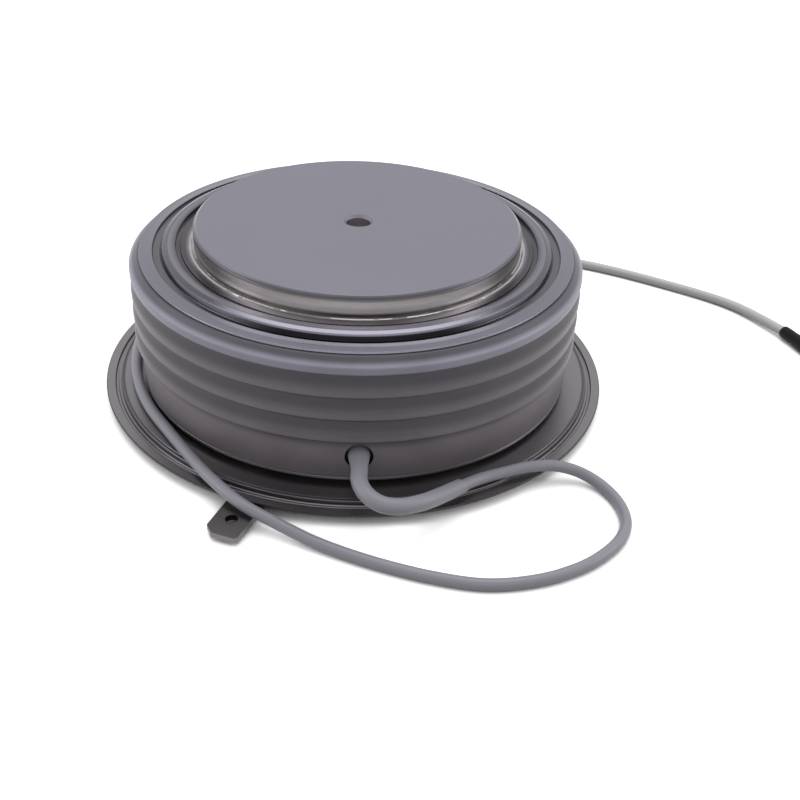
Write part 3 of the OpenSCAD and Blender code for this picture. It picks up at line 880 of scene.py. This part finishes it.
def make_materials():
    return {
        "nickel_pole": pole_material(),
        "nickel_sheet": sheet_material(),
        "nickel_flange": flange_material(),
        "ceramic": ceramic_material(),
        "tab_metal": tab_material(),
        "molybdenum": molybdenum_material(),
        "insulation": lead_material(),
        "shrink": grainy("shrink", (0.006, 0.006, 0.007), 0, 0.5, shade=0.1, spread=0.08,
                         bump=0.02, Specular_IOR_Level=0.15),
        **{name: grainy(name, *values) for name, values in PLAIN_FINISHES.items()},
    }


def dress(obj, material):
    obj.data.materials.clear()
    obj.data.materials.append(material)


# ---------------------------------------------------------------- the stage

FILL = 0.3
CEILING = 0.3
WHITE = (1, 1, 1, 1)
FLOOR_TONE = (0.32, 0.32, 0.32, 1)


def light_path_share(tree):
    """1 for camera, glossy and transmission rays, else 0."""
    path = tree.nodes.new("ShaderNodeLightPath")
    total = path.outputs["Is Camera Ray"]
    for name in ("Is Glossy Ray", "Is Transmission Ray"):
        larger = tree.nodes.new("ShaderNodeMath")
        larger.operation = "MAXIMUM"
        tree.links.new(total, larger.inputs[0])
        tree.links.new(path.outputs[name], larger.inputs[1])
        total = larger.outputs[0]
    return total


def split_rays(tree, out_kind, lighting, seen):
    """One shader for the rays that light things, another for those that show it."""
    out = tree.nodes.new(out_kind)
    mix = tree.nodes.new("ShaderNodeMixShader")
    for source, target in zip((light_path_share(tree), lighting, seen), mix.inputs):
        tree.links.new(source, target)
    tree.links.new(mix.outputs[0], out.inputs[0])


def make_world():
    """White all round, with a dimmer ceiling that fades in well above the horizon."""
    world = bpy.data.worlds.new("studio")
    bpy.context.scene.world = world
    world.use_nodes = True
    world.cycles.sampling_method = "NONE"
    tree = world.node_tree
    tree.nodes.clear()
    room = tree.nodes.new("ShaderNodeBackground")
    white = tree.nodes.new("ShaderNodeBackground")
    room.inputs[0].default_value = WHITE
    room.inputs[1].default_value = FILL
    white.inputs[0].default_value = WHITE
    place = tree.nodes.new("ShaderNodeTexCoord")
    split = tree.nodes.new("ShaderNodeSeparateXYZ")
    tree.links.new(place.outputs["Generated"], split.inputs[0])
    fade = map_range(tree, split.outputs[2], (0.6, 0.78, 1, CEILING), "SMOOTHSTEP")
    tree.links.new(fade, white.inputs[1])
    split_rays(tree, "ShaderNodeOutputWorld", room.outputs[0], white.outputs[0])


def make_floor():
    """A pale floor. Where rays show it, it glows a little in the open and away from the part."""
    size, cells = 1.6, 8
    points = [(-size + 2 * size * i / cells, -size + 2 * size * j / cells, 0)
              for j in range(cells + 1) for i in range(cells + 1)]
    faces = []
    for j in range(cells):
        for i in range(cells):
            a = j * (cells + 1) + i
            faces.append([a, a + 1, a + cells + 2, a + cells + 1])
    mesh = bpy.data.meshes.new("floor")
    mesh.from_pydata(points, [], faces)
    floor = add_object("floor", mesh)
    material = bpy.data.materials.new("floor")
    material.use_nodes = True
    material.cycles.emission_sampling = "NONE"
    tree = material.node_tree
    tree.nodes.clear()
    pale = tree.nodes.new("ShaderNodeBsdfDiffuse")
    pale.inputs[0].default_value = FLOOR_TONE
    white = tree.nodes.new("ShaderNodeBsdfDiffuse")
    white.inputs[0].default_value = WHITE
    under = tree.nodes.new("ShaderNodeAmbientOcclusion")
    under.samples = 8
    under.inputs["Distance"].default_value = 0.005
    place = tree.nodes.new("ShaderNodeTexCoord")
    away = tree.nodes.new("ShaderNodeVectorMath")
    away.operation = "LENGTH"
    tree.links.new(place.outputs["Object"], away.inputs[0])
    glow_power = tree.nodes.new("ShaderNodeMath")
    glow_power.operation = "ADD"
    tree.links.new(map_range(tree, under.outputs["AO"], (0.3, 0.6, 0, 0.5)),
                   glow_power.inputs[0])
    tree.links.new(map_range(tree, away.outputs["Value"], (0.15, 0.45, 0, 0.5)),
                   glow_power.inputs[1])
    glow = tree.nodes.new("ShaderNodeEmission")
    tree.links.new(glow_power.outputs[0], glow.inputs[1])
    seen = tree.nodes.new("ShaderNodeAddShader")
    tree.links.new(white.outputs[0], seen.inputs[0])
    tree.links.new(glow.outputs[0], seen.inputs[1])
    split_rays(tree, "ShaderNodeOutputMaterial", pale.outputs[0], seen.outputs[0])
    dress(floor, material)


def make_lamp(name, place, size, radiance, colour=(1, 1, 1)):
    """A rectangular soft lamp of a given brightness that looks at the capsule.

    An area lamp's brightness is its energy over four times its area.
    """
    data = bpy.data.lights.new(name, "AREA")
    data.shape = "RECTANGLE"
    data.size, data.size_y = size
    data.energy = radiance * 4 * size[0] * size[1]
    data.color = colour
    lamp = add_object(name, data)
    lamp.location = place
    aim = Vector((0, 0, TOP_Z / 2 * MM)) - Vector(place)
    lamp.rotation_mode = "QUATERNION"
    lamp.rotation_quaternion = aim.to_track_quat("-Z", "Y")


def make_lamps():
    make_lamp("lamp_top", (0, 0.16, 0.60), (0.6, 0.45), 1.9)
    for name, x in (("lamp_left", -0.54), ("lamp_right", 0.54)):
        make_lamp(name, (x, -0.04, 0.28), (0.3, 0.24), 3.0)
    make_lamp("lamp_front", (0, -0.62, 0.40), (0.5, 0.2), 0.95, (1, 0.97, 0.95))


# ---------------------------------------------------------------- assembly

CAD_FINISH = {
    "cathode_pole": "nickel_pole", "cathode_braze_ring": "braze", "gate_tube_braze": "braze_in_shadow",
    "gate_tube": "nickel_sheet", "anode_disc": "molybdenum", "cathode_disc": "molybdenum",
    "silicon_wafer": "silicon", "edge_seal": "seal_rubber", "centring_ring": "inner_plastic",
    "gate_cup": "inner_plastic", "gate_inner_tubing": "inner_plastic",
    "gate_pin": "gold_contact", "gate_spring": "spring_steel", "gate_inner_wire": "plated_wire",
}


def add_piece(obj, node, material):
    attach(obj, "root")
    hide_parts(node)
    dress(obj, material)


def build():
    make_camera()
    lead = make_lead()
    finishes = make_materials()
    sleeve = make_sleeve()
    end_sleeve = make_end_sleeve()
    terminal = make_terminal()
    upper, lower = make_flanges()
    pieces = (
        (lead, "gate_lead", "lead_insulation", "insulation"),
        (sleeve, "gate_sleeve", "lead_insulation", "insulation"),
        (end_sleeve, "lead_end_sleeve", "shrink_sleeve", "shrink"),
        (terminal, "lead_terminal", "terminal_metal", "terminal_metal"),
        (make_anode_pole(), "anode_pole", "plated_pole", "nickel_pole"),
        (make_anode_sheet(), "anode_sheet", "plated_sheet", "nickel_sheet"),
        (make_braze_seam(), "anode_braze_ring", "braze", "braze"),
        (make_ceramic(), "ceramic_ring", "ceramic", "ceramic"),
        (upper, "upper_flange", "plated_sheet", "nickel_flange"),
        (lower, "lower_flange", "plated_sheet", "nickel_flange"),
        (make_tab(), "auxiliary_cathode_tab", "tab_metal", "tab_metal"),
    )
    for obj, node, slot, finish in pieces:
        add_piece(obj, node, finishes[finish])
    for node, finish in CAD_FINISH.items():
        dress(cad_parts[node], finishes[finish])
    path = lead_path()
    make_world()
    make_floor()
    make_lamps()
    bpy.context.scene.view_settings.view_transform = "Standard"


build()
